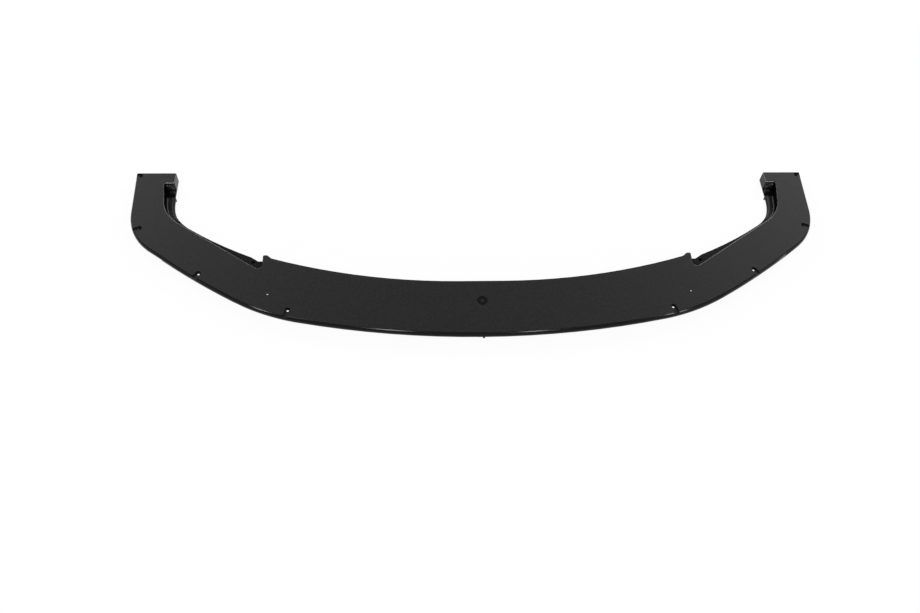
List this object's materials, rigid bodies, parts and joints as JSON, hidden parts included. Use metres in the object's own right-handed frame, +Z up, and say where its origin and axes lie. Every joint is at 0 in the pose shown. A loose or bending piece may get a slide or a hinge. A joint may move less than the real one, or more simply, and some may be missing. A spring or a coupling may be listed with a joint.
{
  "type": "front splitter lip",
  "caption": "Wide car front splitter lip in black plastic: flat grained road side, round glossy nose, swept-back arms with sunk inner flanges, ears and screw pockets.",
  "frame": {"origin": "middle of the lip's outline box, on the plane of the resting edges", "axes": "+X across the car, +Y from the front edge back towards the arm ends, +Z up out of the flat road side, which faces up as the lip lies"},
  "size_m": [1.8144, 0.5144, 0.032],
  "materials": {
    "black_plastic": "fine-grained matte on the flat face, gloss on the nose, the skin and the walls"
  },
  "bodies": {
    "root": {"splitter_lip": "black_plastic"}
  },
  "joints": []
}
